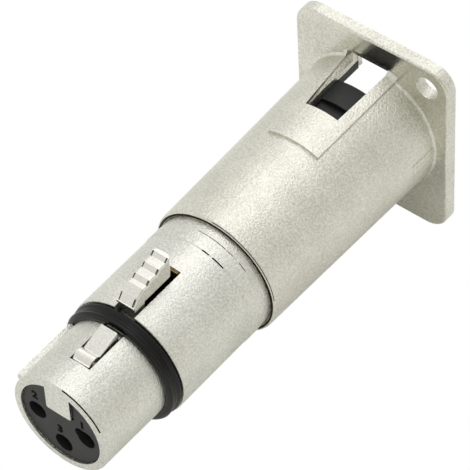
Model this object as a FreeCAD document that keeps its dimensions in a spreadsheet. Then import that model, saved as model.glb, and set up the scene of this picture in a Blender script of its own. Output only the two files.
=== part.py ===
import FreeCAD, Part
import os
import re
import Sketcher

# Panel-mount three-pin audio adapter. The flange's mounting face lies in the XZ plane with its centre at
# the origin, the tube runs along +Y to the plug's nose, and the latch is on top, towards +Z.

# Driving dimensions in millimetres and degrees
SIZES = {
    # Flange and its two screw holes
    "flange_side_margin": 2.02,
    "flange_end_margin": 4.52,
    "flange_thickness": 1.9,
    "flange_corner_radius": 3.5,
    "flange_edge_round": 0.4,
    "screw_hole_diameter": 3.7,
    "screw_hole_inset": 3.5,
    # Tube of the housing: its bore, wall and taper
    "bore_radius": 9.45,
    "tube_length": 37.05,
    "tube_end_wall": 0.75,
    "tube_taper": 0.78,
    "tube_end_round": 0.6,
    "tube_foot_fillet": 0.45,
    "bore_chamfer": 0.25,
    "mouth_lip_depth": 0.8,
    "mouth_lip_width": 0.95,
    # Raised land on the tube, which flares where it meets the flange
    "land_length": 17.5,
    "land_rise": 0.4,
    "land_sink": 0.1,
    "land_half_angle": 22.8,
    "land_foot_angle": 24.2,
    "land_flare_rise": 0.62,
    "land_flare_length": 0.62,
    # Latch window through the land, wider at the flange and with a ledge on one side
    "window_length": 11.0,
    "window_width": 5.3,
    "window_root_width": 6.0,
    "window_recess": 1.0,
    "window_recess_rise": 0.45,
    "ledge_width": 0.15,
    "ledge_root_width": 0.95,
    "ledge_lift": 0.4,
    "ledge_slope": 0.4,
    "cut_clearance": 0.5,
    # Channel for the latch of the plug, from the mouth to just past the window
    "channel_width": 5.9,
    "channel_depth": 0.55,
    "channel_extra": 0.4,
    # Low cast pad on the side of the tube
    "side_pad_angle": 87.0,
    "side_pad_span": 8.0,
    "side_pad_length": 5.6,
    "side_pad_ramp": 0.8,
    "side_pad_rise": 0.07,
    # Male insulator and its three pins
    "male_insulator_length": 19.2,
    "male_insulator_fit": 0.05,
    "male_insulator_wall": 1.35,
    "socket_depth": 12.6,
    "top_opening_width": 5.9,
    "top_opening_length": 4.7,
    "top_opening_corner": 0.3,
    "latch_pocket_start": 9.6,
    "latch_pocket_length": 3.6,
    "latch_pocket_floor": 0.45,
    "pin_radius": 1.2,
    "pin_tip_setback": 1.5,
    "pin_tip_round": 0.8,
    "pin_collar_radius": 1.9,
    "pin_collar_length": 2.0,
    "contact_fit": 0.03,
    # Places of the contacts, for both ends
    "contact_inset": 2.55,
    "contact_drop_angle": 4.6,
    # Solder cups, cores and jackets of the three wires
    "cup_radius": 1.45,
    "cup_bore_radius": 1.05,
    "cup_length": 4.0,
    "cup_depth": 3.2,
    "core_radius": 0.4,
    "jacket_wall": 0.35,
    "jacket_setback": 1.6,
    # Shell of the female plug: barrel, ring seat and nose
    "shell_fit": 0.07,
    "barrel_length": 18.05,
    "barrel_wall": 1.38,
    "barrel_edge_round": 0.15,
    "band_setback": 1.45,
    "band_width": 2.4,
    "band_rise": 0.08,
    "nose_step": 1.42,
    "nose_length": 14.03,
    "nose_straight": 2.9,
    "nose_taper": 0.08,
    "nose_wall": 1.26,
    "nose_edge_round": 0.3,
    "tongue_width": 4.12,
    "tongue_bottom": 2.27,
    "tongue_length": 4.53,
    "tongue_corner": 0.35,
    "tongue_sink": 0.25,
    "rib_angle": 67.0,
    "rib_width": 1.0,
    "rib_rise": 0.65,
    "rib_sink": 0.6,
    "rib_ring_gap": 0.1,
    "rib_setback": 1.1,
    "rib_end_round": 0.4,
    # Rubber ring behind the nose
    "ring_width": 2.3,
    "ring_sink": 0.08,
    "ring_corner": 0.8,
    # Female insulator and its contacts
    "female_insulator_fit": 0.12,
    "face_recess": 0.33,
    "insulator_flange_length": 2.5,
    "insulator_flange_fit": 0.1,
    "tongue_side_gap": 0.25,
    "tongue_fit": 0.06,
    "contact_radius": 1.75,
    "contact_bore_radius": 1.22,
    "contact_bore_depth": 14.0,
    "contact_setback": 1.2,
    "contact_slit": 0.4,
    "contact_slit_length": 6.0,
    "face_hole_radius": 1.45,
    "lobe_radius": 0.95,
    "lobe_offset": 0.88,
    "lobe_rise": 0.58,
    # Latch slot and lever
    "slot_width": 3.36,
    "slot_end_gap": 0.15,
    "slot_rear_gap": 1.2,
    "shell_step_setback": 1.1,
    "lever_width": 2.8,
    "hinge_setback": 6.23,
    "hinge_depth": 0.91,
    "hinge_pin_radius": 0.4,
    "hinge_pin_length": 5.2,
    "hinge_pin_fit": 0.01,
    "hinge_hole_fit": 0.03,
    "boss_radius": 1.25,
    "lever_flush_depth": 0.16,
    "hook_ramp_start": 1.05,
    "hook_height": 0.99,
    "hook_gap": 0.7,
    "hook_face_lean": 0.1,
    "hook_edge_round": 0.2,
    "neck_depth": 0.46,
    "neck_thickness": 1.1,
    "web_gap": 0.5,
    "web_thickness": 2.0,
    # Thumb pad of the lever, from its front edge over three ridges to its tail
    "thumb_gap": 0.2,
    "thumb_clearance": 0.6,
    "thumb_front_undercut": 0.3,
    "thumb_front_height": 0.64,
    "thumb_ledge_run": 0.15,
    "thumb_bevel_run": 0.79,
    "thumb_bevel_rise": 1.0,
    "thumb_flat_run": 1.34,
    "thumb_flat_rise": 0.73,
    "thumb_dip_run": 0.88,
    "thumb_dip_drop": 0.18,
    "riser_run": 0.57,
    "riser_rise": 0.5,
    "crown_run": 0.7,
    "crown_rise": 0.06,
    "fall_run": 0.66,
    "fall_drop": 0.14,
    "tail_run": 0.61,
    "tail_drop": 0.1,
    "tail_corner": 0.8,
    "thumb_edge_round": 0.35,
    "slit_inset": 0.13,
    "slit_width": 0.25,
    "slit_depth": 0.5,
    # Leaf spring under the lever
    "spring_thickness": 0.25,
    "spring_width": 2.4,
    "spring_wall_gap": 0.02,
    "spring_tab_drop": 0.48,
    "spring_base_length": 3.2,
    "spring_arm_length": 4.4,
    "spring_tip_gap": 0.05,
}

doc = FreeCAD.newDocument("PanelAdapter")
sheet = doc.addObject("Spreadsheet::Sheet", "Sizes")
for row, (alias, size) in enumerate(SIZES.items(), start=1):
    sheet.set(f"A{row}", alias)
    sheet.set(f"B{row}", str(size))
    sheet.setAlias(f"B{row}", alias)
doc.recompute()

# Radii that follow from the driving dimensions
TUBE_END = "(bore_radius + tube_end_wall)"
TUBE_FOOT = f"({TUBE_END} + tube_taper)"
MOUTH = "(bore_radius - mouth_lip_width)"
MALE_OUTER = "(bore_radius - male_insulator_fit)"
SOCKET = f"({MALE_OUTER} - male_insulator_wall)"
BARREL = "(bore_radius - shell_fit)"
CAVITY = f"({BARREL} - barrel_wall)"
NOSE = f"({BARREL} - nose_step)"
NOSE_TIP = f"({NOSE} - nose_taper)"
NOSE_BORE = f"({NOSE} - nose_wall)"
RING_OUTER = f"({BARREL} - ring_sink)"
FEMALE_OUTER = f"({NOSE_BORE} - female_insulator_fit)"
CONTACT_CIRCLE = f"({NOSE_BORE} - contact_inset)"
HALF_WIDTH = f"({TUBE_FOOT} + flange_side_margin)"
HALF_HEIGHT = f"({TUBE_FOOT} + flange_end_margin)"

# Number of ridges on the thumb pad, and their pitch
RIDGES = 3
PITCH = "(riser_run + crown_run + fall_run)"

# Places along the axis
WINDOW_END = "(flange_thickness + window_length)"
MALE_REAR = "(mouth_lip_depth + male_insulator_length)"
BARREL_END = "(tube_length + barrel_length)"
RING_END = f"({BARREL_END} + ring_width)"
TIP = f"({BARREL_END} + nose_length)"
TONGUE_REAR = f"({TIP} - tongue_length)"
HINGE_Y = f"({TIP} - hinge_setback)"
SLOT_END = f"({HINGE_Y} + boss_radius + slot_end_gap)"
THUMB_FRONT = f"({BARREL_END} - thumb_gap)"
BEVEL_REAR = f"({THUMB_FRONT} - thumb_ledge_run - thumb_bevel_run)"
FIRST_RISER = f"({BEVEL_REAR} - thumb_flat_run - thumb_dip_run)"
THUMB_REAR = f"({FIRST_RISER} - {RIDGES - 1} * {PITCH} - riser_run - tail_run)"
SLOT_REAR = f"({THUMB_REAR} - slot_rear_gap)"
SHELL_STEP = f"({SLOT_REAR} - shell_step_setback)"
FEMALE_REAR = f"({SHELL_STEP} - insulator_flange_length)"
FEMALE_FACE = f"({TIP} - face_recess)"
CONTACT_FRONT = f"({FEMALE_FACE} - contact_setback)"
MALE_CUP_END = f"({MALE_REAR} + cup_length)"
MALE_CUP_FLOOR = f"({MALE_CUP_END} - cup_depth)"
FEMALE_CUP_END = f"({FEMALE_REAR} - cup_length)"
FEMALE_CUP_FLOOR = f"({FEMALE_CUP_END} + cup_depth)"

# Heights above the axis
CHANNEL_TOP = "(bore_radius + channel_depth)"
ABOVE_LAND = f"({TUBE_FOOT} + land_rise + land_flare_rise + cut_clearance)"
SPRING_FLOOR = "(tongue_bottom - tongue_fit)"
HINGE_Z = f"({NOSE} - hinge_depth)"
NECK_TOP = f"({NOSE} - neck_depth)"
NECK_BOTTOM = f"({NECK_TOP} - neck_thickness)"
THUMB_BOTTOM = f"({BARREL} + thumb_clearance)"

# Each contact's place around the axis, in degrees from +X towards -Z
CONTACT_ANGLES = {1: "(180 - contact_drop_angle)", 2: "contact_drop_angle", 3: "90"}


def with_sheet(formula):
    """Write a formula over size names the way the document's expressions want it."""
    return re.sub(r"[a-z]\w+", lambda word: "Sizes." + word[0] if word[0] in SIZES else word[0], formula)


def value(formula):
    """Number that a formula over size names gives now."""
    return float(sheet.evalExpression(with_sheet(formula)))


def bind(item, **formulas):
    """Bind properties of an object to formulas; a double underscore in a name stands for a dot."""
    for name, formula in formulas.items():
        item.setExpression(name.replace("__", "."), with_sheet(formula))


def new_body(label):
    body = doc.addObject("PartDesign::Body", label)
    body.Label = label
    return body


def new_sketch(body, name, role, offset="0"):
    """Sketch on one of the body's own origin planes, moved along the plane's normal by offset."""
    sketch = body.newObject("Sketcher::SketchObject", name)
    plane = next(feature for feature in body.Origin.OriginFeatures if feature.Role == role)
    sketch.AttachmentSupport = [(plane, "")]
    sketch.MapMode = "FlatFace"
    if offset != "0":
        bind(sketch, AttachmentOffset__Base__z=offset)
    return sketch


def side_sketch(body, name):
    """Sketch seen from the side: its axes run along Y and up Z."""
    return new_sketch(body, name, "YZ_Plane")


def plan_sketch(body, name):
    """Sketch seen from above: its axes run along X and Y."""
    return new_sketch(body, name, "XY_Plane")


def section_sketch(body, name, place="0"):
    """Sketch across the axis at a place along Y: its axes run along X and up Z."""
    return new_sketch(body, name, "XZ_Plane", "0" if place == "0" else f"-{place}")


def fix_size(sketch, kind, formula, *where):
    """Add a size constraint and bind it to its formula."""
    index = sketch.addConstraint(Sketcher.Constraint(kind, *where, value(formula)))
    sketch.setExpression(f"Constraints[{index}]", with_sheet(formula))


def fix_point(sketch, geometry, point, across, up):
    """Hold one point of a sketch at two formulas, or on an axis where a formula is 0."""
    for kind, axis, formula in (("DistanceX", -2, across), ("DistanceY", -1, up)):
        if formula == "0":
            sketch.addConstraint(Sketcher.Constraint("PointOnObject", geometry, point, axis))
        else:
            fix_size(sketch, kind, formula, geometry, point)


def draw_outline(sketch, corners):
    """Closed outline of straight lines through corners, each a pair of formulas."""
    points = [FreeCAD.Vector(value(across), value(up), 0) for across, up in corners]
    lines = []
    for start, end in zip(points, points[1:] + points[:1]):
        lines.append(sketch.addGeometry(Part.LineSegment(start, end)))
    for line, following in zip(lines, lines[1:] + lines[:1]):
        sketch.addConstraint(Sketcher.Constraint("Coincident", line, 2, following, 1))
    for line, (across, up) in zip(lines, corners):
        fix_point(sketch, line, 1, across, up)


def draw_rectangle(sketch, half_width, bottom, top):
    """Rectangle that is even about the sketch's upright axis."""
    left = f"-{half_width}"
    draw_outline(sketch, [(left, bottom), (half_width, bottom), (half_width, top), (left, top)])


def draw_circle(sketch, across, up, radius):
    centre = FreeCAD.Vector(value(across), value(up), 0)
    circle = sketch.addGeometry(Part.Circle(centre, FreeCAD.Vector(0, 0, 1), value(radius)))
    fix_point(sketch, circle, 3, across, up)
    fix_size(sketch, "Radius", radius, circle)


def revolve(body, name, corners, kind="PartDesign::Revolution"):
    """Turn an outline of (place along Y, radius) corners about the body's Y axis."""
    sketch = side_sketch(body, name + "Profile")
    draw_outline(sketch, corners)
    turned = body.newObject(kind, name)
    turned.Profile = sketch
    turned.ReferenceAxis = (sketch, ["H_Axis"])
    turned.Angle = 360
    doc.recompute()
    return turned


def extend(body, name, sketch, length, kind="PartDesign::Pad"):
    """Pad or pocket a section sketch along +Y."""
    solid = body.newObject(kind, name)
    solid.Profile = sketch
    solid.Reversed = kind == "PartDesign::Pad"
    bind(solid, Length=length)
    doc.recompute()
    return solid


def across_body(body, name, sketch, width, kind="PartDesign::Pad"):
    """Pad or pocket a side sketch evenly to both sides of the YZ plane."""
    solid = body.newObject(kind, name)
    solid.Profile = sketch
    solid.SideType = "Symmetric"
    bind(solid, Length=width)
    doc.recompute()
    return solid


def cut_upwards(body, name, sketch):
    """Pocket a plan sketch from the axis up through the top wall."""
    pocket = body.newObject("PartDesign::Pocket", name)
    pocket.Profile = sketch
    pocket.Type = "ThroughAll"
    pocket.Reversed = True
    doc.recompute()
    return pocket


def edges_where(feature, test):
    """Names of the edges of a feature whose edge passes a test."""
    return [f"Edge{number}" for number, edge in enumerate(feature.Shape.Edges, start=1) if test(edge)]


def is_ring(edge, place, radius):
    """True for a full circle about the Y axis with this place and radius."""
    curve = edge.Curve
    if not isinstance(curve, Part.Circle) or not edge.isClosed():
        return False
    return abs(curve.Center.y - place) < 1e-4 and abs(curve.Radius - radius) < 1e-4


def runs_along(edge, axis):
    """True for a straight edge along X (0), Y (1) or Z (2)."""
    if not isinstance(edge.Curve, Part.Line):
        return False
    return abs(abs(edge.Curve.Direction[axis]) - 1) < 1e-6


def round_edges(body, name, base, test, radius):
    """Fillet the edges of the base feature that pass a test."""
    fillet = body.newObject("PartDesign::Fillet", name)
    fillet.Base = (base, edges_where(base, test))
    bind(fillet, Radius=radius)
    doc.recompute()
    return fillet


def contact_place(number, radius=CONTACT_CIRCLE):
    """Formulas for a contact's place across the axis."""
    angle = CONTACT_ANGLES[number]
    return f"({radius} * cos({angle}))", f"(-{radius} * sin({angle}))"


def put_at_contact(item, number):
    """Bind a sub-part's placement to a contact's place."""
    across, up = contact_place(number)
    bind(item, Placement__Base__x=across, Placement__Base__z=up)


def draw_land_section(sketch, radius, rise):
    """Cross-section of the raised land: an arc on top, and sides that slope into the tube."""
    top = f"({radius} + {rise})"
    foot = f"({radius} - land_sink)"
    top_across = f"({top} * sin(land_half_angle))"
    foot_across, foot_up = f"({foot} * sin(land_foot_angle))", f"({foot} * cos(land_foot_angle))"
    top_x, top_z = value(top_across), value(f"{top} * cos(land_half_angle)")
    foot_x, foot_z = value(foot_across), value(foot_up)
    top_left, top_right = FreeCAD.Vector(-top_x, top_z, 0), FreeCAD.Vector(top_x, top_z, 0)
    foot_left, foot_right = FreeCAD.Vector(-foot_x, foot_z, 0), FreeCAD.Vector(foot_x, foot_z, 0)
    crown = sketch.addGeometry(Part.Arc(top_right, FreeCAD.Vector(0, value(top), 0), top_left))
    left = sketch.addGeometry(Part.LineSegment(top_left, foot_left))
    bottom = sketch.addGeometry(Part.LineSegment(foot_left, foot_right))
    right = sketch.addGeometry(Part.LineSegment(foot_right, top_right))
    sketch.addConstraint(Sketcher.Constraint("Coincident", crown, 3, -1, 1))
    sketch.addConstraint(Sketcher.Constraint("Coincident", crown, 2, left, 1))
    sketch.addConstraint(Sketcher.Constraint("Coincident", left, 2, bottom, 1))
    sketch.addConstraint(Sketcher.Constraint("Coincident", bottom, 2, right, 1))
    sketch.addConstraint(Sketcher.Constraint("Coincident", right, 2, crown, 1))
    fix_size(sketch, "Radius", top, crown)
    fix_size(sketch, "DistanceX", f"-{top_across}", left, 1)
    fix_size(sketch, "DistanceX", top_across, right, 2)
    fix_point(sketch, bottom, 1, f"-{foot_across}", foot_up)
    fix_point(sketch, bottom, 2, foot_across, foot_up)


def raise_land(body, name, rise, length, end_rise):
    """Loft one stretch of the land from the flange, following the taper of the tube."""
    taper = "(tube_taper / (tube_length - flange_thickness))"
    root = section_sketch(body, name + "Root", "flange_thickness")
    draw_land_section(root, TUBE_FOOT, rise)
    front = section_sketch(body, name + "Front", f"(flange_thickness + {length})")
    draw_land_section(front, f"({TUBE_FOOT} - {length} * {taper})", end_rise)
    land = body.newObject("PartDesign::AdditiveLoft", name)
    land.Profile = root
    land.Sections = [front]
    doc.recompute()


def draw_window_section(sketch, half_width, ledge):
    """Cross-section of the latch window: a slot with a sloping ledge on its +X side."""
    ledge_bottom = "(bore_radius + ledge_lift)"
    ledge_side = f"({half_width} + {ledge})"
    draw_outline(sketch, [
        (f"-{half_width}", SOCKET), (half_width, SOCKET), (half_width, ledge_bottom),
        (ledge_side, f"({ledge_bottom} + ledge_slope)"), (ledge_side, ABOVE_LAND),
        (f"-{half_width}", ABOVE_LAND)])


def make_housing():
    """Die-cast flange and tube, with the latch window on top and the stepped bore inside."""
    body = new_body("housing")
    plate = section_sketch(body, "FlangeOutline")
    draw_rectangle(plate, HALF_WIDTH, f"-{HALF_HEIGHT}", HALF_HEIGHT)
    flange = extend(body, "Flange", plate, "flange_thickness")
    corners = round_edges(body, "FlangeCorners", flange, lambda edge: runs_along(edge, 1),
                          "flange_corner_radius")
    near_face = value("flange_thickness")

    def on_near_face(edge):
        return all(abs(vertex.Y - near_face) < 1e-4 for vertex in edge.Vertexes)

    round_edges(body, "FlangeEdge", corners, on_near_face, "flange_edge_round")
    tube = revolve(body, "Tube", [
        ("flange_thickness", "0"), ("flange_thickness", TUBE_FOOT), ("tube_length", TUBE_END),
        ("tube_length", "0")])
    foot = round_edges(body, "TubeFoot", tube, lambda edge: is_ring(edge, near_face, value(TUBE_FOOT)),
                       "tube_foot_fillet")
    end_place, end_radius = value("tube_length"), value(TUBE_END)
    round_edges(body, "TubeEnd", foot, lambda edge: is_ring(edge, end_place, end_radius), "tube_end_round")

    raise_land(body, "Land", "land_rise", "land_length", "land_rise")
    raise_land(body, "LandFlare", "(land_rise + land_flare_rise)", "land_flare_length", "land_rise")

    # Low pad on the side, turned as a narrow sector, with a ramp at its front
    pad_end = "(flange_thickness + side_pad_length)"
    pad_top = f"({TUBE_FOOT} + side_pad_rise)"
    pad_inside = "(bore_radius + tube_end_wall / 2)"
    pad_profile = side_sketch(body, "SidePadProfile")
    draw_outline(pad_profile, [
        ("flange_thickness", pad_inside), ("flange_thickness", pad_top),
        (f"{pad_end} - side_pad_ramp", f"{pad_top} - side_pad_rise"), (pad_end, pad_inside)])
    towards_side = FreeCAD.Rotation(FreeCAD.Vector(-1, 0, 0), value("side_pad_angle"))
    pad_profile.AttachmentOffset = FreeCAD.Placement(FreeCAD.Vector(), towards_side)
    bind(pad_profile, AttachmentOffset__Rotation__Angle="side_pad_angle")
    side_pad = body.newObject("PartDesign::Revolution", "SidePad")
    side_pad.Profile = pad_profile
    side_pad.ReferenceAxis = (pad_profile, ["H_Axis"])
    side_pad.Midplane = True
    bind(side_pad, Angle="side_pad_span")
    doc.recompute()

    revolve(body, "Bore", [
        ("0", "0"), ("0", MOUTH), ("mouth_lip_depth", MOUTH), ("mouth_lip_depth", "bore_radius"),
        ("tube_length - bore_chamfer", "bore_radius"), ("tube_length", "bore_radius + bore_chamfer"),
        ("tube_length", "0")], "PartDesign::Groove")

    # Latch window, its recess into the flange, and the channel under both that starts at the mouth
    window_root = section_sketch(body, "WindowRoot", "flange_thickness")
    draw_window_section(window_root, "(window_root_width / 2)", "ledge_root_width")
    window_front = section_sketch(body, "WindowFront", WINDOW_END)
    draw_window_section(window_front, "(window_width / 2)", "ledge_width")
    window = body.newObject("PartDesign::SubtractiveLoft", "Window")
    window.Profile = window_root
    window.Sections = [window_front]
    doc.recompute()
    recess = section_sketch(body, "WindowRecess", "(flange_thickness - window_recess)")
    recess_top = f"({TUBE_FOOT} + land_rise + window_recess_rise)"
    draw_rectangle(recess, "(window_root_width / 2)", SOCKET, recess_top)
    extend(body, "WindowRecessCut", recess, "window_recess", "PartDesign::Pocket")
    channel = section_sketch(body, "ChannelSection")
    draw_rectangle(channel, "(channel_width / 2)", SOCKET, CHANNEL_TOP)
    extend(body, "LatchChannel", channel, f"{WINDOW_END} + channel_extra", "PartDesign::Pocket")

    # Two screw holes in opposite corners
    holes = section_sketch(body, "ScrewHoles")
    hole_x = f"({HALF_WIDTH} - screw_hole_inset)"
    hole_z = f"({HALF_HEIGHT} - screw_hole_inset)"
    draw_circle(holes, f"-{hole_x}", hole_z, "screw_hole_diameter / 2")
    draw_circle(holes, hole_x, f"-{hole_z}", "screw_hole_diameter / 2")
    extend(body, "ScrewHolesCut", holes, "flange_thickness", "PartDesign::Pocket")
    return body


def make_male_insulator():
    """Black insert of the male end: an open socket with a disc behind it that holds the pins."""
    body = new_body("male_insulator")
    revolve(body, "Insert", [
        ("mouth_lip_depth", SOCKET), ("mouth_lip_depth", MALE_OUTER), (MALE_REAR, MALE_OUTER),
        (MALE_REAR, "0"), ("socket_depth", "0"), ("socket_depth", SOCKET)])

    # Opening at the top for the latch of the plug that goes in
    opening = plan_sketch(body, "TopOpeningOutline")
    opening_end = "(mouth_lip_depth + top_opening_length)"
    draw_rectangle(opening, "(top_opening_width / 2)", "mouth_lip_depth", opening_end)
    opened = cut_upwards(body, "TopOpening", opening)
    end_place = value(opening_end)

    def is_inner_corner(edge):
        return runs_along(edge, 2) and abs(edge.Vertexes[0].Y - end_place) < 1e-4

    round_edges(body, "TopOpeningCorners", opened, is_inner_corner, "top_opening_corner")
    pocket = section_sketch(body, "LatchPocketSection", "latch_pocket_start")
    draw_rectangle(pocket, "(window_width / 2)", f"({SOCKET} + latch_pocket_floor)", CHANNEL_TOP)
    extend(body, "LatchPocket", pocket, "latch_pocket_length", "PartDesign::Pocket")

    # Stepped holes for the pins, with the wide step at the back for their collars
    pin_holes = section_sketch(body, "PinHoles", "socket_depth")
    collar_seats = section_sketch(body, "CollarSeats", f"({MALE_REAR} - pin_collar_length)")
    for number in CONTACT_ANGLES:
        draw_circle(pin_holes, *contact_place(number), "pin_radius + contact_fit")
        draw_circle(collar_seats, *contact_place(number), "pin_collar_radius + contact_fit")
    extend(body, "PinHolesCut", pin_holes, f"{MALE_REAR} - socket_depth", "PartDesign::Pocket")
    extend(body, "CollarSeatsCut", collar_seats, "pin_collar_length", "PartDesign::Pocket")
    return body


def make_male_contact(number):
    """Turned pin with a round tip, a collar in the insulator and a solder cup at the back."""
    body = new_body(f"male_contact_{number}")
    pin = revolve(body, f"MalePin{number}", [
        ("pin_tip_setback", "0"), ("pin_tip_setback", "pin_radius"),
        (f"{MALE_REAR} - pin_collar_length", "pin_radius"),
        (f"{MALE_REAR} - pin_collar_length", "pin_collar_radius"), (MALE_REAR, "pin_collar_radius"),
        (MALE_REAR, "cup_radius"), (MALE_CUP_END, "cup_radius"), (MALE_CUP_END, "cup_bore_radius"),
        (MALE_CUP_FLOOR, "cup_bore_radius"), (MALE_CUP_FLOOR, "0")])
    tip, radius = value("pin_tip_setback"), value("pin_radius")
    round_edges(body, f"MalePinTip{number}", pin, lambda edge: is_ring(edge, tip, radius), "pin_tip_round")
    put_at_contact(body, number)
    return body


def make_female_shell():
    """Plug shell in one casting: barrel, ring seat, nose with tongue and rib, and the latch slot."""
    body = new_body("female_shell")
    band_start, band_end = "(tube_length + band_setback)", "(tube_length + band_setback + band_width)"
    shell = revolve(body, "Shell", [
        (MALE_REAR, CAVITY), (MALE_REAR, BARREL), (band_start, BARREL),
        (f"{band_start} + band_rise", f"{BARREL} + band_rise"),
        (f"{band_end} - band_rise", f"{BARREL} + band_rise"), (band_end, BARREL), (BARREL_END, BARREL),
        (BARREL_END, NOSE), (f"{BARREL_END} + nose_straight", NOSE), (TIP, NOSE_TIP), (TIP, NOSE_BORE),
        (SHELL_STEP, NOSE_BORE), (SHELL_STEP, CAVITY)])
    tip, tip_radius = value(TIP), value(NOSE_TIP)
    barrel_end, barrel_radius = value(BARREL_END), value(BARREL)
    rounded = round_edges(body, "NoseEdge", shell, lambda edge: is_ring(edge, tip, tip_radius),
                          "nose_edge_round")
    round_edges(body, "BarrelEdge", rounded, lambda edge: is_ring(edge, barrel_end, barrel_radius),
                "barrel_edge_round")

    # Tongue at the mouth, under the latch
    tongue_section = section_sketch(body, "TongueSection", TONGUE_REAR)
    draw_rectangle(tongue_section, "(tongue_width / 2)", "tongue_bottom", f"({NOSE_BORE} + tongue_sink)")
    tongue = extend(body, "Tongue", tongue_section, "tongue_length")
    bottom = value("tongue_bottom")

    def is_tongue_corner(edge):
        return runs_along(edge, 1) and abs(edge.Vertexes[0].Z - bottom) < 1e-4

    round_edges(body, "TongueCorners", tongue, is_tongue_corner, "tongue_corner")

    # Lengthwise rib on the side of the nose
    rib_section = section_sketch(body, "RibSection", f"({RING_END} + rib_ring_gap)")
    inner, outer = f"({NOSE} - rib_sink)", f"({NOSE} + rib_rise)"
    along, beside = "(sin(rib_angle))", "(cos(rib_angle))"
    draw_outline(rib_section, [
        (f"{inner} * {along} - rib_width / 2 * {beside}", f"{inner} * {beside} + rib_width / 2 * {along}"),
        (f"{outer} * {along} - rib_width / 2 * {beside}", f"{outer} * {beside} + rib_width / 2 * {along}"),
        (f"{outer} * {along} + rib_width / 2 * {beside}", f"{outer} * {beside} - rib_width / 2 * {along}"),
        (f"{inner} * {along} + rib_width / 2 * {beside}", f"{inner} * {beside} - rib_width / 2 * {along}")])
    rib = extend(body, "Rib", rib_section, f"{TIP} - rib_setback - {RING_END} - rib_ring_gap")
    rib_top = value(outer) - 1e-3

    def is_rib_end(edge):
        middle = edge.valueAt((edge.FirstParameter + edge.LastParameter) / 2)
        across = abs(edge.Vertexes[0].Y - edge.Vertexes[-1].Y) < 1e-4
        return across and isinstance(edge.Curve, Part.Line) and rib_top < (middle.x**2 + middle.z**2)**0.5

    round_edges(body, "RibEnds", rib, is_rib_end, "rib_end_round")

    # Slot for the lever, and the hole for its hinge pin through both slot walls
    slot = plan_sketch(body, "SlotOutline")
    draw_rectangle(slot, "(slot_width / 2)", SLOT_REAR, SLOT_END)
    cut_upwards(body, "LatchSlot", slot)
    pin_hole = side_sketch(body, "HingeHole")
    draw_circle(pin_hole, HINGE_Y, HINGE_Z, "hinge_pin_radius + hinge_pin_fit")
    across_body(body, "HingeHoleCut", pin_hole, "hinge_pin_length", "PartDesign::Pocket")
    return body


def make_o_ring():
    """Rubber ring on the nose, seated against the end of the barrel."""
    body = new_body("o_ring")
    ring = revolve(body, "Ring", [
        (BARREL_END, NOSE), (RING_END, NOSE), (RING_END, RING_OUTER), (BARREL_END, RING_OUTER)])
    outer = value(RING_OUTER)

    def is_outer_edge(edge):
        return isinstance(edge.Curve, Part.Circle) and abs(edge.Curve.Radius - outer) < 1e-4

    round_edges(body, "RingCorners", ring, is_outer_edge, "ring_corner")
    return body


def make_female_insulator():
    """Black insert of the nose, with a flange at the back, a channel on top and three stepped holes."""
    body = new_body("female_insulator")
    flange_radius = f"({CAVITY} - insulator_flange_fit)"
    revolve(body, "NoseInsert", [
        (FEMALE_REAR, "0"), (FEMALE_REAR, flange_radius), (SHELL_STEP, flange_radius),
        (SHELL_STEP, FEMALE_OUTER), (FEMALE_FACE, FEMALE_OUTER), (FEMALE_FACE, "0")])
    channel = section_sketch(body, "TopChannelSection", SLOT_REAR)
    draw_rectangle(channel, "(tongue_width / 2 + tongue_side_gap)", SPRING_FLOOR, NOSE)
    extend(body, "TopChannel", channel, f"{TIP} - {SLOT_REAR}", "PartDesign::Pocket")

    # Wide holes from the back for the contacts, and narrower ones at the face for the pins
    bores = section_sketch(body, "ContactBores", FEMALE_REAR)
    face_holes = section_sketch(body, "FaceHoles", CONTACT_FRONT)
    for number in CONTACT_ANGLES:
        draw_circle(bores, *contact_place(number), "contact_radius + contact_fit")
        draw_circle(face_holes, *contact_place(number), "face_hole_radius")
    extend(body, "ContactBoresCut", bores, f"{CONTACT_FRONT} - {FEMALE_REAR}", "PartDesign::Pocket")
    extend(body, "FaceHolesCut", face_holes, "contact_setback", "PartDesign::Pocket")

    # Side lobe that marks the first hole
    lobe = section_sketch(body, "FirstHoleLobe", CONTACT_FRONT)
    across, up = contact_place(1)
    draw_circle(lobe, f"({across} + lobe_offset)", f"({up} + lobe_rise)", "lobe_radius")
    extend(body, "FirstHoleLobeCut", lobe, "contact_setback", "PartDesign::Pocket")
    return body


def make_female_contact(number):
    """Turned contact socket with a slit mouth and a solder cup at the back."""
    body = new_body(f"female_contact_{number}")
    bore_floor = f"({CONTACT_FRONT} - contact_bore_depth)"
    revolve(body, f"ContactTube{number}", [
        (CONTACT_FRONT, "contact_bore_radius"), (CONTACT_FRONT, "contact_radius"),
        (FEMALE_REAR, "contact_radius"), (FEMALE_REAR, "cup_radius"), (FEMALE_CUP_END, "cup_radius"),
        (FEMALE_CUP_END, "cup_bore_radius"), (FEMALE_CUP_FLOOR, "cup_bore_radius"),
        (FEMALE_CUP_FLOOR, "0"), (bore_floor, "0"), (bore_floor, "contact_bore_radius")])
    slit = side_sketch(body, f"ContactSlit{number}")
    slit_start = f"{CONTACT_FRONT} - contact_slit_length"
    draw_outline(slit, [
        (slit_start, "-contact_slit / 2"), (CONTACT_FRONT, "-contact_slit / 2"),
        (CONTACT_FRONT, "contact_slit / 2"), (slit_start, "contact_slit / 2")])
    across_body(body, f"ContactSlitCut{number}", slit, "3 * contact_radius", "PartDesign::Pocket")
    put_at_contact(body, number)
    return body


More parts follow.
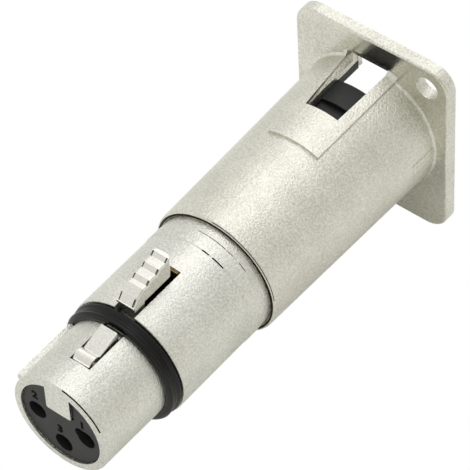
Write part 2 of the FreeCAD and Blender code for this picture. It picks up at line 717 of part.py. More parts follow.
def cut_side_slits(body, name, rear, front, floor, top):
    """Cut a narrow slit beside each end of a riser, from its foot to its top."""
    section = section_sketch(body, name + "Section", rear)
    outer, inner = "(lever_width / 2 - slit_inset)", "(lever_width / 2 - slit_inset - slit_width)"
    for left, right in ((inner, outer), (f"-{outer}", f"-{inner}")):
        draw_outline(section, [(left, floor), (right, floor), (right, top), (left, top)])
    extend(body, name, section, f"{front} - {rear}", "PartDesign::Pocket")


def make_lever():
    """Thumb lever: boss and hook in front of the ring, neck under it, ridged thumb pad behind it."""
    body = new_body("latch_lever")
    hook_y = f"({RING_END} + hook_gap)"
    front = f"({HINGE_Y} + boss_radius)"
    flush = f"({NOSE} - lever_flush_depth)"
    crest = (f"({hook_y} + hook_face_lean)", f"({NOSE} + hook_height)")
    web_front = f"({BARREL_END} - web_gap)"
    web_rear = f"({web_front} - web_thickness)"
    lip_z, ledge_z = f"({THUMB_BOTTOM} + thumb_front_undercut)", f"({THUMB_BOTTOM} + thumb_front_height)"
    bevel_z = f"({ledge_z} + thumb_bevel_rise)"
    flat_y, flat_z = f"({BEVEL_REAR} - thumb_flat_run)", f"({bevel_z} + thumb_flat_rise)"
    outline = [
        (HINGE_Y, NECK_BOTTOM), (front, HINGE_Z), (front, flush), (f"{HINGE_Y} - hook_ramp_start", flush),
        crest, (hook_y, NECK_TOP), (web_front, NECK_TOP), (web_front, lip_z),
        (THUMB_FRONT, lip_z), (THUMB_FRONT, ledge_z), (f"{THUMB_FRONT} - thumb_ledge_run", ledge_z),
        (BEVEL_REAR, bevel_z), (flat_y, flat_z)]
    foot_y, foot_z = FIRST_RISER, f"({flat_z} - thumb_dip_drop)"
    risers = [(BEVEL_REAR, f"({THUMB_FRONT} - thumb_ledge_run)", ledge_z, bevel_z)]
    for _ in range(RIDGES):
        top_y, top_z = f"({foot_y} - riser_run)", f"({foot_z} + riser_rise)"
        outline += [(foot_y, foot_z), (top_y, top_z), (f"({top_y} - crown_run)", f"({top_z} + crown_rise)")]
        risers.append((top_y, foot_y, foot_z, top_z))
        foot_y, foot_z = f"({foot_y} - {PITCH})", f"({top_z} + crown_rise - fall_drop)"
    outline[-1] = (THUMB_REAR, f"({top_z} - tail_drop)")
    outline += [(THUMB_REAR, THUMB_BOTTOM), (web_rear, THUMB_BOTTOM), (web_rear, NECK_BOTTOM)]
    side = side_sketch(body, "LeverSide")
    draw_outline(side, outline)
    lever = across_body(body, "Lever", side, "lever_width")

    # Round tail corners, and soft edges along the top of the pad and the hook
    half, tail_place, pad_front = value("lever_width / 2"), value(THUMB_REAR), value(THUMB_FRONT)
    hook_place, flush_height, ledge_height = value(hook_y), value(flush), value(ledge_z)
    last_ridge, tip = value(f"{THUMB_REAR} + tail_corner"), value(TIP)

    def is_tail_corner(edge):
        return runs_along(edge, 2) and abs(edge.Vertexes[0].Y - tail_place) < 1e-4

    def is_side_edge(edge, rear, ahead, floor):
        """True for an edge of a side face that lies in this range of places and above this height."""
        first, last = edge.Vertexes[0], edge.Vertexes[-1]
        if abs(first.X - last.X) > 1e-4 or abs(abs(first.X) - half) > 1e-4:
            return False
        return min(first.Y, last.Y) > rear and max(first.Y, last.Y) < ahead and min(first.Z, last.Z) > floor

    def is_pad_edge(edge):
        return is_side_edge(edge, last_ridge + 1e-3, pad_front - 1e-3, ledge_height - 1e-3)

    def is_hook_edge(edge):
        return is_side_edge(edge, hook_place + 1e-3, tip, flush_height - 1e-3)

    tail = round_edges(body, "TailCorners", lever, is_tail_corner, "tail_corner")
    pad = round_edges(body, "PadEdges", tail, is_pad_edge, "thumb_edge_round")
    round_edges(body, "HookEdges", pad, is_hook_edge, "hook_edge_round")

    boss = side_sketch(body, "BossCircle")
    draw_circle(boss, HINGE_Y, HINGE_Z, "boss_radius")
    across_body(body, "Boss", boss, "lever_width")
    for number, (rear, foot, floor, top) in enumerate(risers):
        slit_floor, slit_top = f"({floor} - slit_depth)", f"({top} + cut_clearance)"
        cut_side_slits(body, f"Slit{number}", rear, foot, slit_floor, slit_top)

    hinge_hole = side_sketch(body, "LeverHingeHole")
    draw_circle(hinge_hole, HINGE_Y, HINGE_Z, "hinge_pin_radius + hinge_hole_fit")
    across_body(body, "LeverHingeHoleCut", hinge_hole, "2 * lever_width", "PartDesign::Pocket")
    return body


def make_spring():
    """Bronze leaf: a tab up the slot's rear wall, a flat on the insulator and an arm up to the lever."""
    body = new_body("latch_spring")
    wall_side = f"({SLOT_REAR} + spring_wall_gap)"
    inner_side = f"({wall_side} + spring_thickness)"
    base_end = f"({wall_side} + spring_base_length)"
    arm_end = f"({base_end} + spring_arm_length)"
    tab_top = f"({BARREL} - spring_tab_drop)"
    arm_top = f"({NECK_BOTTOM} - spring_tip_gap)"
    base_top = f"({SPRING_FLOOR} + spring_thickness)"
    profile = side_sketch(body, "SpringProfile")
    draw_outline(profile, [
        (wall_side, SPRING_FLOOR), (base_end, SPRING_FLOOR), (arm_end, f"{arm_top} - spring_thickness"),
        (arm_end, arm_top), (f"{base_end} - spring_thickness / 2", base_top), (inner_side, base_top),
        (inner_side, tab_top), (wall_side, tab_top)])
    across_body(body, "Spring", profile, "spring_width")
    return body


def make_hinge_pin():
    """Cross pin that the lever rocks on, held in the slot walls."""
    pin = doc.addObject("Part::Cylinder", "latch_pin")
    pin.Label = "latch_pin"
    pin.Placement = FreeCAD.Placement(FreeCAD.Vector(), FreeCAD.Rotation(FreeCAD.Vector(0, 1, 0), 90))
    bind(pin, Radius="hinge_pin_radius", Height="hinge_pin_length",
         Placement__Base__x="-hinge_pin_length / 2", Placement__Base__y=HINGE_Y,
         Placement__Base__z=HINGE_Z)
    return pin


def wire_cylinder(name, number, radius, start, end):
    """Straight cylinder along Y between two places, in line with a contact."""
    rod = doc.addObject("Part::Cylinder", name)
    rod.Placement = FreeCAD.Placement(FreeCAD.Vector(), FreeCAD.Rotation(FreeCAD.Vector(1, 0, 0), -90))
    bind(rod, Radius=radius, Height=f"{end} - {start}", Placement__Base__y=start)
    put_at_contact(rod, number)
    return rod


def make_wire(number):
    """Copper core from cup floor to cup floor, and the jacket round its middle."""
    core = wire_cylinder(f"wire_core_{number}", number, "core_radius", MALE_CUP_FLOOR, FEMALE_CUP_FLOOR)
    core.Label = f"wire_core_{number}"
    start, end = f"({MALE_CUP_END} + jacket_setback)", f"({FEMALE_CUP_END} - jacket_setback)"
    outside = wire_cylinder(f"JacketOutside{number}", number, "core_radius + jacket_wall", start, end)
    inside = wire_cylinder(f"JacketInside{number}", number, "core_radius", start, end)
    jacket = doc.addObject("Part::Cut", f"wire_jacket_{number}")
    jacket.Label = f"wire_jacket_{number}"
    jacket.Base = outside
    jacket.Tool = inside
    return [core, jacket]


def write_parts(sub_parts):
    """Check every object of the document, then write one STEP file for each sub-part."""
    doc.recompute()
    for item in doc.Objects:
        if "Invalid" in item.State or "Error" in item.State:
            raise RuntimeError(f"{item.Label} did not compute: {item.State}")
    for item in sub_parts:
        if item.Shape.isNull() or not item.Shape.isValid() or len(item.Shape.Solids) != 1:
            raise RuntimeError(f"{item.Label} is not one valid solid")
    os.makedirs("parts", exist_ok=True)
    for item in sub_parts:
        item.Shape.exportStep(f"parts/{item.Label}.step")
        print(f"{item.Label}: {item.Shape.Volume:.2f} cubic mm")


parts = [make_housing(), make_female_shell(), make_male_insulator(), make_female_insulator(), make_o_ring()]
parts += [make_lever(), make_hinge_pin(), make_spring()]
for contact in CONTACT_ANGLES:
    parts += [make_male_contact(contact), make_female_contact(contact)]
    parts += make_wire(contact)
write_parts(parts)
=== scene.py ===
import math

import bmesh
import bpy
from mathutils import Matrix, Vector


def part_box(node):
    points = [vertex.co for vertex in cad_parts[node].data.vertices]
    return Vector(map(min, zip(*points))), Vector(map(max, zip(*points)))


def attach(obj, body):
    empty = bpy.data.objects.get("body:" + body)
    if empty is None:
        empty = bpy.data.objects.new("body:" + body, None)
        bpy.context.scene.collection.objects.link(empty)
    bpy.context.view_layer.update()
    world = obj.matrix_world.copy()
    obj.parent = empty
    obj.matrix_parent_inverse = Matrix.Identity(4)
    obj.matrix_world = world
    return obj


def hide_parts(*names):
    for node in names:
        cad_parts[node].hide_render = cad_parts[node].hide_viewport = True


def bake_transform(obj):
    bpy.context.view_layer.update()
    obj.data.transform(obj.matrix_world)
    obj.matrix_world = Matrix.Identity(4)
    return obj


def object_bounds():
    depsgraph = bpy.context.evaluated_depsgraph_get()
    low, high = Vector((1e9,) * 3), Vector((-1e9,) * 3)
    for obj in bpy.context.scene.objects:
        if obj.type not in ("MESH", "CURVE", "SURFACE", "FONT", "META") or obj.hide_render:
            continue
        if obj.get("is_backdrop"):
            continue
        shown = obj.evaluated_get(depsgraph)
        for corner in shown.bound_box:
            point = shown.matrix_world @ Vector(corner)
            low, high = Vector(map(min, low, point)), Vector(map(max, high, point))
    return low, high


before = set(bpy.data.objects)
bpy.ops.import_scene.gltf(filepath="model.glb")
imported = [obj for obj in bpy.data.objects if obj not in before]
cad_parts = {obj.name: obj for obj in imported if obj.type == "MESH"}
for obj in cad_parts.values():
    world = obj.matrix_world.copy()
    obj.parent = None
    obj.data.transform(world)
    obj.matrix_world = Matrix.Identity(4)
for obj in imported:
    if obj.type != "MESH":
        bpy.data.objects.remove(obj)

bl_info = {
    "name": "Panel adapter finish",
    "version": (1, 0, 0),
    "blender": (4, 5, 0),
    "location": "View3D > Sidebar > Adapter",
    "description": "Dresses a nickel-plated panel adapter and sets up its studio",
    "category": "Object",
}

MM = 0.001
BODY = "adapter"
WHITE = (1, 1, 1, 1)

# A Mix node's sockets for colours, which share their names with those for plain numbers
COLOUR_A, COLOUR_B, COLOUR_RESULT = 6, 7, 2

# Metals: size of the slow change of tone in mm, share of the grain in the mottle over it, the
# mottle's levels for the dull and the bright colour, and the grain's levels between which the
# roughness goes from this much under its mean to this much over it
TONE_MM = 6
GRAIN_SHARE = 0.75
DULL_AT, BRIGHT_AT = 0.36, 0.64
GRAIN_LOW, GRAIN_HIGH = 0.3, 0.7
ROUGHNESS_SPREAD = 0.06

# Polymers: size of the faint cloud in mm, its levels for the dark and the light colour, and the
# depth in mm and the strength of the mould's texture
CLOUD_MM = 2.5
DARK_AT, LIGHT_AT = 0.35, 0.7
TEXTURE_DEPTH_MM = 0.004
TEXTURE_STRENGTH = 0.6

# Grain in mm of the turned, drawn and moulded pieces, and of the rolled leaf and the rubber.
# The real grain is finer, and is drawn this coarse so that it shows
FINE_GRAIN_MM = 0.2
SOFT_GRAIN_MM = 0.3

# Painted shade in thin dark bands round the castings, where seams and edges lie in shadow: place
# along the axis, half width, lowest height and furthest place across, in mm, and the noise level
# over which the band shows, where 0 keeps it whole. The noise has patches of this size in mm
# Colour of the painted shade in the bands
PAINTED_SHADE = "#15130f"
SHADE_PATCH_MM = 1.2
HOUSING_SHADE_BANDS = (
    (37.06, 0.1, -20, 20, 0),           # seam at the end of the tube
    (36.8, 0.045, 1, 0, 0.3))           # thin line beside the seam
SHELL_SHADE_BANDS = (
    (38.54, 0.08, 6.5, 1, 0.45),        # the barrel's two lines
    (40.84, 0.09, 7.6, -1.5, 0.45),
    (68.99, 0.08, 3.5, -1, 0))          # line along the plug's mouth

# The flange's face, at this place along the axis in mm, is smoother than the rest of the casting:
# fully smooth within the first of these distances from it, and fully blasted beyond the second
FLANGE_FACE = 1.9
SMOOTH_WITHIN, BLASTED_BEYOND = 0.06, 0.26
SMOOTH_ROUGHNESS = 0.24
SMOOTH_RELIEF = 0.15

# The leaf spring's arm, in mm along the axis: where it leaves its base, and its tip. The cuts
# along it let it bend
ARM_START, ARM_TIP = 48.75, 53.1
ARM_CUTS = 12

# Section of the rubber ring, as place along the axis and radius in mm: a tall bead towards the
# flange and two lower ones, with a shallow groove between each two
RING_SECTION = (
    (55.11, 7.97), (55.11, 8.55), (55.20, 8.85), (55.34, 9.10), (55.50, 9.25), (55.66, 9.22),
    (55.80, 9.04), (55.92, 8.88), (56.06, 8.84), (56.18, 8.96), (56.28, 9.02), (56.38, 8.96),
    (56.50, 8.84), (56.64, 8.90), (56.80, 9.06), (56.98, 9.12), (57.14, 9.02), (57.28, 8.78),
    (57.37, 8.40), (57.39, 7.97))
RING_STEPS = 192

# Contact numbers on the plug's insert: text, and the middle of it across and up, in mm
NUMERALS = (("1", -3.67, 2.2), ("2", 4.34, 2.57), ("3", 0.4, -1.6))
NUMERAL_LIFT = 0.02 * MM
NUMERAL_BOLDNESS = 0.1 * MM
# Height of a numeral as a share of the font's size
CAPITAL_SHARE = 0.7

# The light tent fades towards its dim side, which is low and on the camera's side. The fade
# starts and ends at these shares of the way there from the opposite side
TENT_BRIGHT, TENT_DIM = "#f0f0ee", "#b2b0a4"
DIM_SIDE = (-0.75, 0.45, -0.45)
FADE_START, FADE_END = 0.45, 0.95

# The soft box: its sides, power and colour, the direction in which it hangs, and in mm its
# distance and the place along the axis that it faces
BOX_SIDES = (360 * MM, 750 * MM)
BOX_POWER = 0.78
BOX_COLOUR = (0.965, 0.97, 1.0)
BOX_DIRECTION = (0.13, -0.38, 0.90)
BOX_DISTANCE = 600
BOX_FACES = 35

# The floor's side in metres, and the gap that keeps it clear of the object
FLOOR_SIDE = 6
FLOOR_GAP = 0.5 * MM

# The camera aims at this place along the axis, shifted right and up in the picture, in mm
AIM_ALONG, AIM_RIGHT, AIM_UP = 30, -1.561, 0.897
SENSOR_WIDTH = 36
CLIP_RANGE = (0.01, 20)


def srgb(code):
    """Linear colour of an sRGB hex code."""
    channels = [int(code[i:i + 2], 16) / 255 for i in (1, 3, 5)]
    linear = [c / 12.92 if c <= 0.04045 else ((c + 0.055) / 1.055) ** 2.4 for c in channels]
    return (*linear, 1.0)


def node(tree, kind, sockets=None, stops=(), **settings):
    """Add one shader node with its settings and links.

    A socket, given by name or number, takes a value or the output that feeds it. The two stops
    of a colour ramp are pairs of place and hex colour.
    """
    made = tree.nodes.new(kind)
    for name, setting in settings.items():
        setattr(made, name, setting)
    for name, given in (sockets or {}).items():
        if isinstance(given, bpy.types.NodeSocket):
            tree.links.new(given, made.inputs[name])
        else:
            made.inputs[name].default_value = given
    for index, (place, code) in enumerate(stops):
        element = made.color_ramp.elements[index]
        element.position = place
        element.color = srgb(code)
    return made


def new_material(name):
    """Material with an empty node tree, and that tree."""
    material = bpy.data.materials.new(name)
    material.use_nodes = True
    material.node_tree.nodes.clear()
    return material, material.node_tree


def per_mm(size_mm):
    """Texture scale, in repeats per metre, of a pattern with features of this size."""
    return 1 / (size_mm * MM)


def painted_shade_bands(tree, place, bands):
    """Mask that is 1 in thin bands across the axis of the object, where shade is painted."""
    axes = node(tree, "ShaderNodeSeparateXYZ", {"Vector": place}).outputs
    patches = node(tree, "ShaderNodeTexNoise", {
        "Vector": place, "Scale": per_mm(SHADE_PATCH_MM)}).outputs["Fac"]
    mask = None
    for centre, half_width, lowest, furthest, broken in bands:
        band = node(tree, "ShaderNodeMath", {
            0: axes["Y"], 1: centre * MM, 2: half_width * MM}, operation="COMPARE")
        for value, limit, test in (
                (axes["Z"], lowest * MM, "GREATER_THAN"),
                (axes["X"], furthest * MM, "LESS_THAN"),
                (patches, broken, "GREATER_THAN")):
            kept = node(tree, "ShaderNodeMath", {0: value, 1: limit}, operation=test)
            band = node(tree, "ShaderNodeMath", {
                0: band.outputs["Value"], 1: kept.outputs["Value"]}, operation="MULTIPLY")
        mask = band if mask is None else node(tree, "ShaderNodeMath", {
            0: mask.outputs["Value"], 1: band.outputs["Value"]}, operation="MAXIMUM")
    return mask.outputs["Value"]


def away_from_face(tree, place, face_mm):
    """Factor that is 0 on a face across the axis, and grows to 1 a short way from it."""
    along = node(tree, "ShaderNodeSeparateXYZ", {"Vector": place}).outputs["Y"]
    offset = node(tree, "ShaderNodeMath", {0: along, 1: face_mm * MM}, operation="SUBTRACT")
    distance = node(tree, "ShaderNodeMath", {0: offset.outputs["Value"]}, operation="ABSOLUTE")
    return node(tree, "ShaderNodeMapRange", {
        "Value": distance.outputs["Value"], "From Min": SMOOTH_WITHIN * MM,
        "From Max": BLASTED_BEYOND * MM}).outputs["Result"]


def metal_finish(name, dull, bright, roughness, grain_mm, grain_depth_mm, bands=(),
                 smooth_face_mm=None):
    """Metal with a grain of duller and brighter specks over a slow change of tone.

    The bands are painted shade, dark where seams and edges lie in shadow. At smooth_face_mm along
    the axis the grain is shallower and the metal glossier.
    """
    material, tree = new_material(name)
    place = node(tree, "ShaderNodeTexCoord").outputs["Object"]
    tone = node(tree, "ShaderNodeTexNoise", {
        "Vector": place, "Scale": per_mm(TONE_MM), "Detail": 2.0})
    grain = node(tree, "ShaderNodeTexNoise", {
        "Vector": place, "Scale": per_mm(grain_mm), "Detail": 3.0, "Roughness": 0.55})
    mottle = node(tree, "ShaderNodeMix", {
        "Factor": GRAIN_SHARE, "A": tone.outputs["Fac"], "B": grain.outputs["Fac"]},
        data_type="FLOAT")
    colour = node(
        tree, "ShaderNodeValToRGB", {"Fac": mottle.outputs["Result"]},
        stops=((DULL_AT, dull), (BRIGHT_AT, bright))).outputs["Color"]
    # The bands take the colour of the painted shade
    if bands:
        colour = node(tree, "ShaderNodeMix", {
            "Factor": painted_shade_bands(tree, place, bands), COLOUR_A: colour, COLOUR_B: srgb(PAINTED_SHADE)},
            data_type="RGBA").outputs[COLOUR_RESULT]
    relief = node(tree, "ShaderNodeBump", {
        "Height": grain.outputs["Fac"], "Distance": grain_depth_mm * MM, "Strength": 1.0})
    polish = node(tree, "ShaderNodeMapRange", {
        "Value": grain.outputs["Fac"], "From Min": GRAIN_LOW, "From Max": GRAIN_HIGH,
        "To Min": roughness - ROUGHNESS_SPREAD,
        "To Max": roughness + ROUGHNESS_SPREAD}).outputs["Result"]
    if smooth_face_mm is not None:
        blasted = away_from_face(tree, place, smooth_face_mm)
        depth = node(tree, "ShaderNodeMapRange", {"Value": blasted, "To Min": SMOOTH_RELIEF})
        tree.links.new(depth.outputs["Result"], relief.inputs["Strength"])
        polish = node(tree, "ShaderNodeMix", {
            "Factor": blasted, "A": SMOOTH_ROUGHNESS, "B": polish},
            data_type="FLOAT").outputs["Result"]
    shader = node(tree, "ShaderNodeBsdfPrincipled", {
        "Base Color": colour, "Metallic": 1.0, "Roughness": polish,
        "Normal": relief.outputs["Normal"]})
    node(tree, "ShaderNodeOutputMaterial", {"Surface": shader.outputs["BSDF"]})
    return material


def moulded_polymer(name, dark, light, roughness, grain_mm, specular=0.5):
    """Polymer of nearly even colour with a faint cloud, a fine texture and a soft sheen."""
    material, tree = new_material(name)
    place = node(tree, "ShaderNodeTexCoord").outputs["Object"]
    cloud = node(tree, "ShaderNodeTexNoise", {
        "Vector": place, "Scale": per_mm(CLOUD_MM), "Detail": 3.0})
    colour = node(
        tree, "ShaderNodeValToRGB", {"Fac": cloud.outputs["Fac"]},
        stops=((DARK_AT, dark), (LIGHT_AT, light)))
    grain = node(tree, "ShaderNodeTexNoise", {
        "Vector": place, "Scale": per_mm(grain_mm), "Detail": 2.0})
    relief = node(tree, "ShaderNodeBump", {
        "Height": grain.outputs["Fac"], "Distance": TEXTURE_DEPTH_MM * MM,
        "Strength": TEXTURE_STRENGTH})
    shader = node(tree, "ShaderNodeBsdfPrincipled", {
        "Base Color": colour.outputs["Color"], "Roughness": roughness,
        "Specular IOR Level": specular, "Normal": relief.outputs["Normal"]})
    node(tree, "ShaderNodeOutputMaterial", {"Surface": shader.outputs["BSDF"]})
    return material


def assign(node_name, material):
    """Give a CAD node this material in all its slots."""
    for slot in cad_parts[node_name].material_slots:
        slot.material = material


def add_piece(name, mesh, material):
    """Link a new piece that rides on the body and has the given material."""
    made = bpy.data.objects.new(name, mesh)
    mesh.materials.clear()
    mesh.materials.append(material)
    bpy.context.scene.collection.objects.link(made)
    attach(made, BODY)
    return made


def turned_ring(name, section, steps):
    """Mesh turned about the Y axis from a closed section of (place, radius) points in mm."""
    shape = bmesh.new()
    rows = []
    for step in range(steps):
        angle = math.tau * step / steps
        rows.append([shape.verts.new(
            (radius * MM * math.sin(angle), place * MM, radius * MM * math.cos(angle)))
            for place, radius in section])
    for row, following in zip(rows, rows[1:] + rows[:1]):
        for near in range(len(section)):
            far = (near + 1) % len(section)
            shape.faces.new((row[near], row[far], following[far], following[near]))
    bmesh.ops.recalc_face_normals(shape, faces=shape.faces)
    for face in shape.faces:
        face.smooth = True
    mesh = bpy.data.meshes.new(name)
    shape.to_mesh(mesh)
    shape.free()
    return mesh


def moulded_numeral(text, height, across, up):
    """Mesh of a numeral that stands just proud of the plug's insert and is read from the front."""
    outline = bpy.data.curves.new("numeral_outline", "FONT")
    outline.body = text
    outline.size = height / CAPITAL_SHARE
    outline.align_x = outline.align_y = "CENTER"
    outline.extrude = NUMERAL_LIFT
    outline.offset = NUMERAL_BOLDNESS
    written = bpy.data.objects.new("numeral_outline", outline)
    bpy.context.scene.collection.objects.link(written)
    evaluated = written.evaluated_get(bpy.context.evaluated_depsgraph_get())
    mesh = bpy.data.meshes.new_from_object(evaluated)
    bpy.data.objects.remove(written)
    _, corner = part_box("female_insulator")
    # The text stands up and faces out of the plug's mouth
    facing = Matrix(((-1, 0, 0), (0, 0, 1), (0, 1, 0))).to_4x4()
    mesh.transform(Matrix.Translation((across * MM, corner[1], up * MM)) @ facing)
    return mesh


class AdapterSettings(bpy.types.PropertyGroup):
    """Sizes and colours of the finish and the studio that a user would change."""
    plate_grain: bpy.props.FloatProperty(
        name="Plate grain", description="Size of the blasted grain, drawn coarse enough to show",
        default=0.3 * MM, unit="LENGTH")
    numeral_height: bpy.props.FloatProperty(
        name="Contact numbers", description="Height of the numbers beside the contacts",
        default=1.3 * MM, unit="LENGTH")
    paper_colour: bpy.props.FloatVectorProperty(
        name="Floor", description="Colour of the paper that the object stands on",
        default=srgb("#f6f6f4"), size=4, subtype="COLOR")
    camera_azimuth: bpy.props.FloatProperty(
        name="Camera azimuth", description="Direction of the camera round the object",
        default=math.radians(221.115), subtype="ANGLE")
    camera_elevation: bpy.props.FloatProperty(
        name="Camera elevation", description="Height of the camera above the horizon",
        default=math.radians(48.993), subtype="ANGLE")
    camera_roll: bpy.props.FloatProperty(
        name="Camera roll", description="Turn of the picture about its centre",
        default=math.radians(-3.543), subtype="ANGLE")
    camera_distance: bpy.props.FloatProperty(
        name="Camera distance", description="From the aimed point to the camera",
        default=450 * MM, unit="LENGTH")
    camera_lens: bpy.props.FloatProperty(
        name="Lens", description="Focal length in millimetres", default=254.3)


class AdapterOperator:
    """Shared settings of the operators."""
    bl_options = {"REGISTER", "UNDO"}


class ADAPTER_OT_plate(AdapterOperator, bpy.types.Operator):
    """Give the castings, the lever and the contacts their nickel and silver plate"""
    bl_idname = "adapter.plate"
    bl_label = "Plate the metal"

    def execute(self, context):
        # Blasting leaves a grain of about 0.1 mm, and it is drawn coarser so that it shows
        grain_mm = context.scene.adapter.plate_grain / MM
        # Dull nickel over blasted zinc: a pale warm grey of fine specks that spreads the light
        assign("housing", metal_finish(
            "satin_nickel_on_blasted_zinc", dull="#cbc9be", bright="#ecebe0", roughness=0.37,
            grain_mm=grain_mm, grain_depth_mm=0.12, bands=HOUSING_SHADE_BANDS,
            smooth_face_mm=FLANGE_FACE))
        # The same nickel over zinc as cast: shallower specks and wide, soft highlights
        assign("female_shell", metal_finish(
            "satin_nickel_on_cast_zinc", dull="#cccbc3", bright="#eeede5", roughness=0.4,
            grain_mm=grain_mm, grain_depth_mm=0.1, bands=SHELL_SHADE_BANDS))
        # Nickel over smooth zinc: nearly even, and glossy enough for bright lines on the ridges
        assign("latch_lever", metal_finish(
            "satin_nickel_on_smooth_zinc", dull="#dfddd5", bright="#eeede6", roughness=0.29,
            grain_mm=grain_mm, grain_depth_mm=0.01))
        # Silver over turned brass: a warm, bright gloss with sharp highlights along the pins
        silver = metal_finish(
            "silver_plate_on_turned_brass", dull="#cfcabc", bright="#e0dccf", roughness=0.22,
            grain_mm=FINE_GRAIN_MM, grain_depth_mm=0.001)
        # Silver deep in the plug's holes, darkened to a brown grey as painted shade,
        # so that the holes look black
        silver_in_painted_shade = metal_finish(
            "silver_on_brass_painted_shade", dull="#2c2a26", bright="#3a3833", roughness=0.4,
            grain_mm=FINE_GRAIN_MM, grain_depth_mm=0.001)
        for number in (1, 2, 3):
            assign(f"male_contact_{number}", silver)
            assign(f"female_contact_{number}", silver_in_painted_shade)
        # Drawn steel: a plain grey that is darker than the plate round it, with a soft gloss
        assign("latch_pin", metal_finish(
            "drawn_steel", dull="#a8a8a6", bright="#c2c2c0", roughness=0.3,
            grain_mm=FINE_GRAIN_MM, grain_depth_mm=0.001))
        return {"FINISHED"}


class ADAPTER_OT_spring(AdapterOperator, bpy.types.Operator):
    """Make the leaf spring from the CAD one, with cuts along its arm"""
    bl_idname = "adapter.spring"
    bl_label = "Bend the leaf spring"

    def execute(self, context):
        shape = bmesh.new()
        shape.from_mesh(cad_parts["latch_spring"].data)
        for cut in range(1, ARM_CUTS):
            place = ARM_START + (ARM_TIP - ARM_START) * cut / ARM_CUTS
            bmesh.ops.bisect_plane(
                shape, geom=[*shape.verts, *shape.edges, *shape.faces],
                plane_co=(0, place * MM, 0), plane_no=(0, 1, 0))
        mesh = bpy.data.meshes.new("leaf_spring")
        shape.to_mesh(mesh)
        shape.free()
        mesh.materials.clear()
        # Rolled phosphor bronze: a dull golden brown that stands out from the grey plate
        mesh.materials.append(metal_finish(
            "rolled_phosphor_bronze", dull="#a08a5c", bright="#c0a878", roughness=0.3,
            grain_mm=SOFT_GRAIN_MM, grain_depth_mm=0.002))
        leaf = bpy.data.objects.new("leaf_spring", mesh)
        bpy.context.scene.collection.objects.link(leaf)
        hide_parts("latch_spring")
        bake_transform(leaf)
        return {"FINISHED"}


class ADAPTER_OT_plastics(AdapterOperator, bpy.types.Operator):
    """Give the inserts their nylon, and the wires their copper and vinyl"""
    bl_idname = "adapter.plastics"
    bl_label = "Mould the plastics"

    def execute(self, context):
        # Moulded nylon: a soft black that is a little grey where the light grazes it
        nylon = moulded_polymer(
            "moulded_black_nylon", dark="#1d1d1e", light="#272728", roughness=0.5,
            grain_mm=FINE_GRAIN_MM, specular=0.4)
        assign("male_insulator", nylon)
        assign("female_insulator", nylon)
        # Tinned copper: a dull silver with a little of the copper's pink
        copper = metal_finish(
            "tinned_copper", dull="#b0a598", bright="#c8beb0", roughness=0.35,
            grain_mm=FINE_GRAIN_MM, grain_depth_mm=0.002)
        # Extruded vinyl: an even mid grey with a soft gloss along the wire
        vinyl = moulded_polymer(
            "extruded_vinyl", dark="#7a7a7a", light="#8a8a8a", roughness=0.45,
            grain_mm=FINE_GRAIN_MM)
        for number in (1, 2, 3):
            assign(f"wire_core_{number}", copper)
            assign(f"wire_jacket_{number}", vinyl)
        return {"FINISHED"}


class ADAPTER_OT_rubber(AdapterOperator, bpy.types.Operator):
    """Make the sealing ring of smooth black rubber"""
    bl_idname = "adapter.rubber"
    bl_label = "Mould the rubber ring"

    def execute(self, context):
        # Moulded rubber: a deep black with thin highlights along the tops of its beads
        rubber = moulded_polymer(
            "moulded_black_rubber", dark="#080807", light="#0f0f0e", roughness=0.22,
            grain_mm=SOFT_GRAIN_MM, specular=0.3)
        ring = add_piece(
            "sealing_ring", turned_ring("sealing_ring", RING_SECTION, RING_STEPS), rubber)
        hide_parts("o_ring")
        return {"FINISHED"}


class ADAPTER_OT_numerals(AdapterOperator, bpy.types.Operator):
    """Mould the numbers of the contacts on the plug's insert"""
    bl_idname = "adapter.numerals"
    bl_label = "Number the contacts"

    def execute(self, context):
        height = context.scene.adapter.numeral_height
        # Nylon of the raised numbers, near black as painted shade and duller than the insert,
        # so that they can be read
        nylon = moulded_polymer(
            "nylon_number_painted_shade", dark="#040404", light="#080808", roughness=0.6,
            grain_mm=FINE_GRAIN_MM, specular=0.03)
        for text, across, up in NUMERALS:
            add_piece(
                "contact_number_" + text, moulded_numeral(text, height, across, up), nylon)
        return {"FINISHED"}


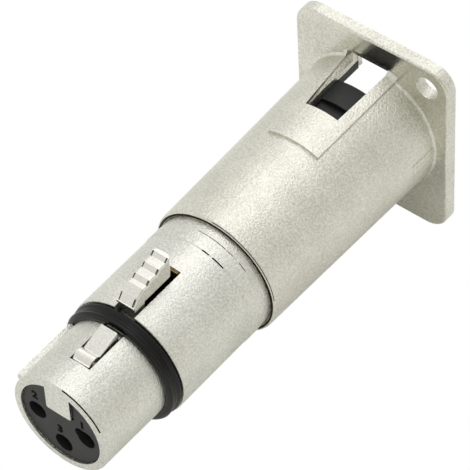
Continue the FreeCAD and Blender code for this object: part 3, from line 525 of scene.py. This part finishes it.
class ADAPTER_OT_stage(AdapterOperator, bpy.types.Operator):
    """Set up the pale floor, the soft lights and the camera"""
    bl_idname = "adapter.stage"
    bl_label = "Set up the studio"

    def execute(self, context):
        settings = context.scene.adapter
        self.make_floor(settings)
        self.make_world(context.scene)
        self.make_lights()
        self.make_camera(context.scene, settings)
        context.scene.view_settings.view_transform = "Standard"
        return {"FINISHED"}

    def make_floor(self, settings):
        """Sheet of paper under the object, which the camera sees as white."""
        low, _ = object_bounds()
        bpy.ops.mesh.primitive_plane_add(size=FLOOR_SIDE, location=(0, 0, low.z - FLOOR_GAP))
        floor = bpy.context.object
        floor.name = "studio_floor"
        # Matt paper: an even off-white with no gloss, which lights the object softly from below
        material, tree = new_material("matt_white_paper")
        path = node(tree, "ShaderNodeLightPath")
        paper = node(tree, "ShaderNodeBsdfDiffuse", {"Color": settings.paper_colour})
        glow = node(tree, "ShaderNodeEmission", {"Color": WHITE, "Strength": 1.0})
        mixed = node(tree, "ShaderNodeMixShader", {
            "Fac": path.outputs["Is Camera Ray"], 1: paper.outputs["BSDF"],
            2: glow.outputs["Emission"]})
        node(tree, "ShaderNodeOutputMaterial", {"Surface": mixed.outputs["Shader"]})
        floor.data.materials.append(material)
        floor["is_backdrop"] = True

    def make_world(self, scene):
        """Light tent that is dim low on the camera's side, and that the camera sees as white."""
        world = bpy.data.worlds.new("studio")
        scene.world = world
        world.use_nodes = True
        tree = world.node_tree
        tree.nodes.clear()
        direction = node(tree, "ShaderNodeTexCoord").outputs["Generated"]
        lean = node(
            tree, "ShaderNodeVectorMath", {0: direction, 1: DIM_SIDE}, operation="DOT_PRODUCT")
        share = node(tree, "ShaderNodeMapRange", {
            "Value": lean.outputs["Value"], "From Min": -1.0})
        tent = node(
            tree, "ShaderNodeValToRGB", {"Fac": share.outputs["Result"]},
            stops=((FADE_START, TENT_BRIGHT), (FADE_END, TENT_DIM)))
        light = node(tree, "ShaderNodeBackground", {
            "Color": tent.outputs["Color"], "Strength": 1.0})
        white = node(tree, "ShaderNodeBackground", {"Color": WHITE, "Strength": 1.0})
        mixed = node(tree, "ShaderNodeMixShader", {
            "Fac": node(tree, "ShaderNodeLightPath").outputs["Is Camera Ray"],
            1: light.outputs["Background"], 2: white.outputs["Background"]})
        node(tree, "ShaderNodeOutputWorld", {"Surface": mixed.outputs["Shader"]})

    def make_lights(self):
        """One broad soft box overhead, a little behind the object."""
        light = bpy.data.lights.new("overhead_box", "AREA")
        light.shape = "RECTANGLE"
        light.size, light.size_y = BOX_SIDES
        light.energy = BOX_POWER
        light.color = BOX_COLOUR
        lamp = bpy.data.objects.new("overhead_box", light)
        direction = Vector(BOX_DIRECTION).normalized()
        lamp.location = direction * BOX_DISTANCE * MM + Vector((0, BOX_FACES * MM, 0))
        lamp.rotation_euler = direction.to_track_quat("Z", "Y").to_euler()
        bpy.context.scene.collection.objects.link(lamp)

    def make_camera(self, scene, settings):
        """Camera at the photograph's viewing angle."""
        azimuth, elevation, roll = (
            settings.camera_azimuth, settings.camera_elevation, settings.camera_roll)
        back = Vector((
            math.sin(azimuth) * math.cos(elevation), -math.cos(azimuth) * math.cos(elevation),
            math.sin(elevation)))
        right = Vector((math.cos(azimuth), math.sin(azimuth), 0))
        up = back.cross(right)
        aim = Vector((0, AIM_ALONG * MM, 0)) + right * AIM_RIGHT * MM + up * AIM_UP * MM
        turned_right = math.cos(roll) * right + math.sin(roll) * up
        turned_up = back.cross(turned_right)
        data = bpy.data.cameras.new("photo_camera")
        data.sensor_width = SENSOR_WIDTH
        data.lens = settings.camera_lens
        data.clip_start, data.clip_end = CLIP_RANGE
        camera = bpy.data.objects.new("photo_camera", data)
        camera.matrix_world = Matrix.Translation(aim + back * settings.camera_distance) @ Matrix(
            (turned_right, turned_up, back)).transposed().to_4x4()
        scene.collection.objects.link(camera)
        scene.camera = camera


class ADAPTER_PT_panel(bpy.types.Panel):
    """Buttons for the finish and the studio"""
    bl_idname = "ADAPTER_PT_panel"
    bl_label = "Adapter"
    bl_space_type = "VIEW_3D"
    bl_region_type = "UI"
    bl_category = "Adapter"

    def draw(self, context):
        for name in AdapterSettings.__annotations__:
            self.layout.prop(context.scene.adapter, name)
        for operator in OPERATORS:
            self.layout.operator(operator.bl_idname)


OPERATORS = (
    ADAPTER_OT_plate, ADAPTER_OT_spring, ADAPTER_OT_plastics, ADAPTER_OT_rubber,
    ADAPTER_OT_numerals, ADAPTER_OT_stage)
CLASSES = (AdapterSettings, *OPERATORS, ADAPTER_PT_panel)


def register():
    for cls in CLASSES:
        bpy.utils.register_class(cls)
    bpy.types.Scene.adapter = bpy.props.PointerProperty(type=AdapterSettings)


def unregister():
    del bpy.types.Scene.adapter
    for cls in reversed(CLASSES):
        bpy.utils.unregister_class(cls)


def main():
    register()
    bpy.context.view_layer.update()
    bpy.ops.adapter.plate()
    bpy.ops.adapter.spring()
    bpy.ops.adapter.plastics()
    bpy.ops.adapter.rubber()
    bpy.ops.adapter.numerals()
    bpy.ops.adapter.stage()


if __name__ == "__main__":
    main()
